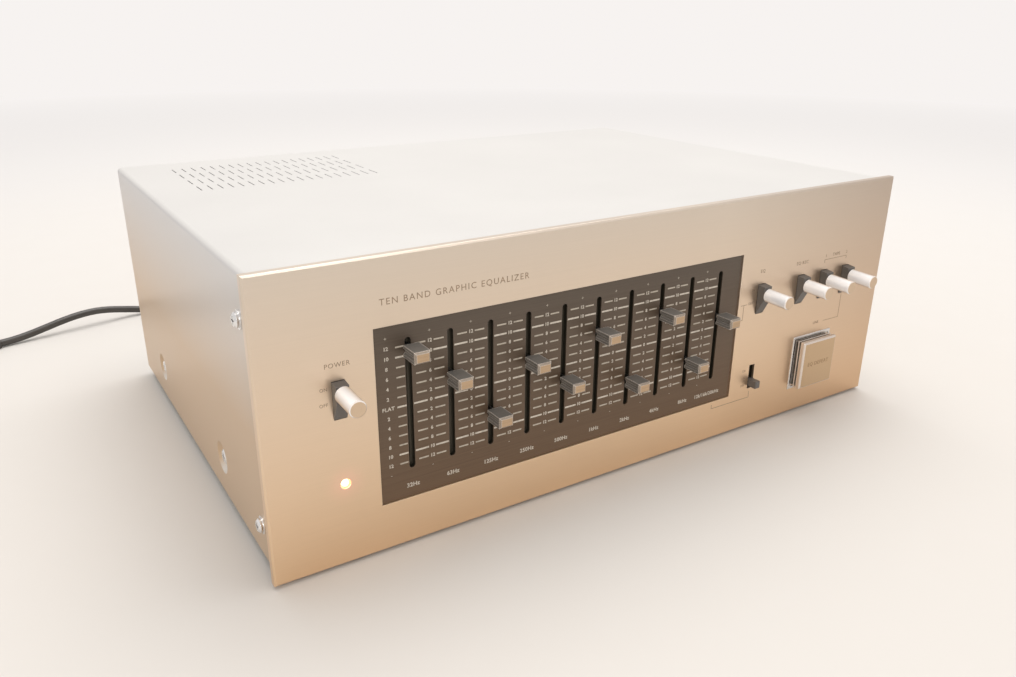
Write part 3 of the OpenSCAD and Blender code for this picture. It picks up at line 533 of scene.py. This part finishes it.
def scale_print():
    plate_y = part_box("slider_plate")[0].y / MM
    fine, bold = bmesh.new(), bmesh.new()

    def label(bm, text, size, x, z, **style):
        add_text(bm, text, size, x, z, plate_y - 0.03, depth=0.04, **style)

    for i, x in enumerate(SLIDERS):
        for level in LEVELS:
            major = abs(level) in (0, 10)
            far, near, first_far, first_near, width = MAJOR_TICK if major else MINOR_TICK
            left = (x - first_far, x - first_near) if i == 0 else (x - far, x - near)
            spans = [left]
            if i < len(SLIDERS) - 1:
                spans.append((x + near, x + far))
            z = FLAT_Z + level * DB_PITCH
            for x_start, x_end in spans:
                add_line(bold if major else fine, (x_start, z), (x_end, z), width,
                         plate_y - 0.06, plate_y + 0.04)
    for i in range(len(SLIDERS)):
        x = SLIDERS[0] - 11.2 if i == 0 else (SLIDERS[i - 1] + SLIDERS[i]) / 2
        for level in LEVELS:
            z = FLAT_Z + level * DB_PITCH
            if level == 0 and i == 0:
                label(bold, "FLAT", 2.6, x, z, spacing=1.12, bold=0.06)
            else:
                label(bold, str(abs(level)), 2.5, x, z, bold=0.07)
        label(fine, "+", 2.6, x, FLAT_Z + 34.9)
        label(fine, "-", 3.0, x, FLAT_Z - 35.0)
    for x, text in zip(SLIDERS, BANDS):
        shift = -2.5 if text == BANDS[-1] else 0.0
        label(bold, text, 3.1, x + shift, PANEL_BOTTOM + 31.5, spacing=1.06, bold=0.06)
    piece("scale_print_fine", fine, "print_pale")
    piece("scale_print_bold", bold, "print_bright")


scale_print()


# ------------------------------------------------------------------ panel and button print
def panel_print():
    """Lettering and rules; x from the centre, z from the panel's bottom edge, in mm."""
    panel_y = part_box("front_panel")[0].y / MM
    bm = bmesh.new()

    def label(text, size, x, z, spacing=1.05):
        add_text(bm, text, size, x, PANEL_BOTTOM + z, panel_y - 0.03, spacing=spacing)

    def rule(*points):
        for start, end in zip(points, points[1:]):
            add_line(bm, (start[0], PANEL_BOTTOM + start[1]), (end[0], PANEL_BOTTOM + end[1]),
                     0.30, panel_y - 0.05, panel_y + 0.03)

    label("TEN BAND GRAPHIC EQUALIZER", 4.4, -112, 127.2, spacing=1.25)
    label("POWER", 3.2, -172.8, 102.6, spacing=1.15)
    label("ON", 2.3, -179.8, 92.0)
    label("OFF", 2.3, -180.2, 84.6)
    label("EQ", 2.9, 95.4, 103.0, spacing=1.15)
    label("EQ REC", 2.9, 130.6, 102.8, spacing=1.15)
    label("1", 2.7, 152.6, 104.0)
    label("TAPE", 2.8, 162.4, 104.0, spacing=1.15)
    label("2", 2.7, 172.4, 104.0)
    rule((151.8, 99.6), (151.8, 101.6), (172.6, 101.6), (172.6, 99.6))
    label("IN", 2.2, 88.9, 92.0)
    label("OUT", 2.2, 87.8, 84.0)
    rule((79.5, 83.8), (84.6, 83.8))
    rule((82.0, 83.8), (82.0, 74.4), (78.6, 74.4))
    rule((173.4, 75.6), (173.4, 59.7), (158.8, 59.7))
    label("LINE", 2.4, 151.5, 59.8, spacing=1.1)
    for text, z in (("12k", 39.6), ("16k", 34.6), ("20k", 29.8)):
        label(text, 2.1, 88.6, z)
    rule((95.2, 24.6), (95.2, 20.6), (63.0, 20.6), (63.0, 23.2))
    piece("panel_print", bm, "print_dark")


def button_print():
    low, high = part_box("push_button")
    centre = (low + high) / 2 / MM
    bm = bmesh.new()
    add_text(bm, "EQ DEFEAT", 3.6, centre.x, centre.z, low.y / MM - 0.03, spacing=1.12)
    piece("button_print", bm, "print_brown", body="push_button")


panel_print()
button_print()

# ------------------------------------------------------------------ mains cord and plug (mm)
CORD_X, CORD_EXIT_Z = -150.0, 32.0
CORD_RADIUS = 2.8
CORD_REST_Z = 3.3             # centre of the cord lying on the table
CORD_INSIDE, CORD_OUTSIDE = 30, 16    # straight run before and behind the rear face
BEND_RADIUS = 25.0            # the two 45 degree bends down to the table
TURN_RADIUS, TURN_DEGREES = 40.0, 103.5
TURN_START_Y = 242.7
TURN = math.radians(TURN_DEGREES)
TURN_END = Vector((CORD_X - TURN_RADIUS * (1 - math.cos(TURN)),
                   TURN_START_Y + TURN_RADIUS * math.sin(TURN), CORD_REST_Z))
RUN = Vector((-math.sin(TURN), math.cos(TURN), 0))    # direction of the last run
RUN_SIDE = Vector((RUN.y, -RUN.x, 0))
PLUG_LIFT = 3.8               # plug's centre above the cord's


def run_lift(distance):
    """Height by which the cord springs off the table, by distance past the turn."""
    t = (distance - 30) / (55 if distance < 30 else 68)
    return 0.0 if abs(t) >= 1 else 8.4 * math.cos(t * math.pi / 2) ** 2


def cord_points():
    bends = [math.radians(45 * k / 8) for k in range(9)]
    sin45 = math.sqrt(0.5)
    first_bend_y = REAR_Y + CORD_OUTSIDE
    # at 45 degrees the slope runs as far back as it drops
    slope = CORD_EXIT_Z - CORD_REST_Z - 2 * BEND_RADIUS * (1 - sin45)
    table_y = first_bend_y + slope + 2 * BEND_RADIUS * sin45
    points = [(CORD_X, REAR_Y - CORD_INSIDE + k * (CORD_INSIDE + CORD_OUTSIDE) / 6, CORD_EXIT_Z)
              for k in range(6)]
    points += [(CORD_X, first_bend_y + BEND_RADIUS * math.sin(a),
                CORD_EXIT_Z - BEND_RADIUS * (1 - math.cos(a))) for a in bends]
    points += [(CORD_X, table_y - BEND_RADIUS * math.sin(a),
                CORD_REST_Z + BEND_RADIUS * (1 - math.cos(a))) for a in reversed(bends)]
    points += [(CORD_X, table_y + (TURN_START_Y - table_y) * k / 4, CORD_REST_Z)
               for k in range(1, 4)]
    for k in range(25):
        a = math.radians(TURN_DEGREES * k / 24)
        points.append((CORD_X - TURN_RADIUS * (1 - math.cos(a)),
                       TURN_START_Y + TURN_RADIUS * math.sin(a),
                       CORD_REST_Z + run_lift(TURN_RADIUS * (a - TURN))))
    points = [Vector(point) * MM for point in points]
    return points + [run_point(s, 0, run_lift(s)) for s in [*range(5, 100, 5), 101]]


def run_point(along, across, up):
    """A point on the last run, measured from the end of the turn."""
    return (TURN_END + RUN * along + RUN_SIDE * across + Vector((0, 0, up))) * MM


# columns: distance along, height of centre, half width, half height
BOOT = [(99.2, 0, 3.25, 3.2)]
for s in (100 + 2.7 * k for k in range(4)):    # four raised rings
    BOOT += [(s, 0, 4.35, 3.25), (s + 1.5, 0, 4.45, 3.25),
             (s + 1.55, 0, 3.7, 3.15), (s + 2.65, 0, 3.7, 3.15)]
BOOT += [(110.9, 0.2, 4.6, 3.25), (111.6, 1.2, 5.2, 4.2)]
PLUG = [
    (110.6, 3.2, 5.0, 4.6), (111.4, 3.7, 8.6, 6.4), (113.0, PLUG_LIFT, 10.2, 6.9),
    (117, PLUG_LIFT, 10.0, 6.6), (122, PLUG_LIFT, 9.3, 6.1), (127, PLUG_LIFT, 9.8, 6.5),
    (130, PLUG_LIFT, 10.9, 6.95), (134.2, PLUG_LIFT, 11.0, 7.0), (135.0, PLUG_LIFT, 10.4, 6.5),
]
# columns: distance along, half thickness, half height
BLADE = [(134.4, 0.75, 3.15), (149.2, 0.75, 3.15), (151.0, 0.75 * 0.55, 2.3)]
BLADE_OFFSET = 6.35


def loft(bm, sections, sides, power):
    """Join superellipse sections along the last run."""
    def rounded(value):
        return math.copysign(abs(value) ** (2 / power), value)

    skin(bm, [[bm.verts.new(run_point(along, rounded(math.cos(a)) * half_width,
                                      height + rounded(math.sin(a)) * half_height))
               for a in circle(sides)]
              for along, height, half_width, half_height in sections])


def mains_cord():
    bm = bmesh.new()
    sweep(bm, cord_points(), CORD_RADIUS * MM, sides=24)
    loft(bm, BOOT, sides=28, power=2.6)
    loft(bm, PLUG, sides=40, power=3.6)
    cord = piece("mains_cord_smooth", bm, "cord_black", solid=True,
                 smooth=True)
    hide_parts("mains_cord")


def plug_blades():
    bm = bmesh.new()
    for offset in (-BLADE_OFFSET, BLADE_OFFSET):
        skin(bm, [[bm.verts.new(run_point(along, offset + p * thick, PLUG_LIFT + q * tall))
                   for p, q in ((-1, -1), (1, -1), (1, 1), (-1, 1))]
                  for along, thick, tall in BLADE])
    piece("plug_blades", bm, "jack_nickel", solid=True)


mains_cord()
plug_blades()


# ------------------------------------------------------------------ button return spring
def button_coil():
    """One helix along Y inside the CAD spring's box, in metres."""
    turns, steps_per_turn = 5, 30
    coil_radius, wire_radius, end_inset = 0.0031, 0.00033, 0.00036
    low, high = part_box("button_spring")
    centre = (low + high) / 2
    y_start, y_end = low.y + end_inset, high.y - end_inset
    steps = turns * steps_per_turn
    points = []
    for k in range(steps + 1):
        a = 2 * math.pi * k / steps_per_turn
        points.append(Vector((centre.x + coil_radius * math.cos(a),
                              y_start + (y_end - y_start) * k / steps,
                              centre.z + coil_radius * math.sin(a))))
    bm = bmesh.new()
    sweep(bm, points, wire_radius, sides=10)
    slot = SLOT["button_spring"]
    coil = piece("button_coil", bm, slot, solid=True, smooth=True)
    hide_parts("button_spring")
    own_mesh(coil)


button_coil()

# ------------------------------------------------------------------ rear jacks (mm)
JACK_PAIRS = [(34, 52), (86, 104), (138, 156)]    # x of the IN and OUT jacks
JACK_RED_Z, JACK_WHITE_Z = 58, 84
# columns: radius, distance behind the rear face
RING_PROFILE = [(4.17, 3.02), (5.35, 3.02), (5.45, 3.3), (5.3, 3.9), (4.75, 4.3), (4.17, 4.3)]


def jack_rings(name, z, material):
    bm = bmesh.new()
    for x in (x for pair in JACK_PAIRS for x in pair):
        rings = [[bm.verts.new(Vector((x + radius * math.cos(a), REAR_Y + depth,
                                       z + radius * math.sin(a))) * MM) for a in circle(40)]
                 for radius, depth in RING_PROFILE]
        bridge(bm, rings + rings[:1])
    piece(name, bm, material, solid=True, smooth=True)


def jack_print():
    bm = bmesh.new()
    for x_in, x_out in JACK_PAIRS:
        x_mid = (x_in + x_out) / 2
        for text, size, x, z in (("R", 3.6, x_mid, JACK_RED_Z), ("L", 3.6, x_mid, JACK_WHITE_Z),
                                 ("IN", 2.8, x_in, 94.2), ("OUT", 2.8, x_out, 94.2)):
            add_text(bm, text, size, x, z, REAR_Y + 2.02, from_rear=True)
    piece("jack_print", bm, "print_bright")


jack_rings("jack_rings_red", JACK_RED_Z, "ring_red")
jack_rings("jack_rings_white", JACK_WHITE_Z, "ring_white")
jack_print()


# ------------------------------------------------------------------ stage, light and camera
def studio_floor():
    """A disc that, to the camera, fades into the backdrop's tone so no horizon shows."""
    m = Mat("studio_floor")
    length = m.node("ShaderNodeVectorMath", operation="LENGTH")
    m.put(length.inputs[0], m.coords)
    distance = length.outputs["Value"]
    mottle = m.remap(m.noise(30.0, detail=3, rough=0.6), NOISE_SPAN, (-0.02, 0.02))
    tone = m.math("ADD", m.remap(distance, (0.35, 2.0)), mottle)
    m.set(Base_Color=m.ramp(tone, (0.0, (0.64, 0.615, 0.580)), (0.5, (0.70, 0.69, 0.675)),
                            (1.0, (0.74, 0.735, 0.725))),
          Roughness=0.65)
    emission = m.node("ShaderNodeEmission")
    m.put(emission.inputs[0], BACKDROP)
    camera_ray = m.node("ShaderNodeLightPath").outputs["Is Camera Ray"]
    mix = m.node("ShaderNodeMixShader")
    m.put(mix.inputs[0], m.product(m.remap(distance, (0.75, 2.4)), camera_ray))
    m.put(mix.inputs[1], m.shader.outputs[0])
    m.put(mix.inputs[2], emission.outputs[0])
    m.put(m.out.inputs[0], mix.outputs[0])

    mesh = bpy.data.meshes.new("studio_floor")
    bm = bmesh.new()
    bmesh.ops.create_circle(bm, cap_ends=True, segments=96, radius=12.0)
    bm.to_mesh(mesh)
    bm.free()
    floor = bpy.data.objects.new("studio_floor", mesh)
    mesh.materials.append(MATERIALS["studio_floor"])
    SCENE.collection.objects.link(floor)


def studio_world():
    """Plain backdrop, a little dimmer as a light than as seen by the camera."""
    world = bpy.data.worlds.new("studio")
    SCENE.world = world
    world.use_nodes = True
    nodes, links = world.node_tree.nodes, world.node_tree.links
    background = nodes["Background"]
    background.inputs[0].default_value = (*BACKDROP, 1)
    strength = nodes.new("ShaderNodeMapRange")
    strength.inputs["To Min"].default_value = 0.88
    strength.inputs["To Max"].default_value = 1.0
    light_path = nodes.new("ShaderNodeLightPath")
    links.new(light_path.outputs["Is Camera Ray"], strength.inputs[0])
    links.new(strength.outputs[0], background.inputs[1])


def area_light(name, location, target, size, power):
    light = bpy.data.lights.new(name, "AREA")
    light.shape = "RECTANGLE"
    light.size, light.size_y = size
    light.energy = power
    light.color = LIGHT_COLOR
    obj = bpy.data.objects.new(name, light)
    SCENE.collection.objects.link(obj)
    obj.location = location
    obj.rotation_mode = "QUATERNION"
    obj.rotation_quaternion = (Vector(target) - Vector(location)).to_track_quat("-Z", "Y")


def camera(location, azimuth, drop, roll):
    """Angles in radians: azimuth from +Y towards +X, drop below the horizon."""
    data = bpy.data.cameras.new("camera")
    data.sensor_width = 36
    data.lens = 29.954
    data.clip_start, data.clip_end = 0.01, 60
    obj = bpy.data.objects.new("camera", data)
    SCENE.collection.objects.link(obj)
    forward = Vector((math.sin(azimuth) * math.cos(drop), math.cos(azimuth) * math.cos(drop),
                      -math.sin(drop)))
    level = Vector((math.cos(azimuth), -math.sin(azimuth), 0.0))
    upright = level.cross(forward)
    right = level * math.cos(roll) + upright * math.sin(roll)
    up = upright * math.cos(roll) - level * math.sin(roll)
    turn = Matrix((right, up, -forward)).transposed()
    obj.matrix_world = Matrix.Translation(location) @ turn.to_4x4()
    SCENE.camera = obj


studio_floor()
studio_world()
area_light("key_top", (0.3, 0.35, 1.7), target=(0, 0, 0.05), size=(1.6, 1.6), power=26)
area_light("fill_front", (-0.9, -1.5, 0.9), target=(0, 0, 0.08), size=(1.2, 0.9), power=7)
camera((-0.29264, -0.47095, 0.24888), azimuth=0.5698, drop=0.3719, roll=0.0063)
SCENE.view_settings.view_transform = "Standard"
SCENE.view_settings.look = "None"
SCENE.view_settings.exposure = 0.0
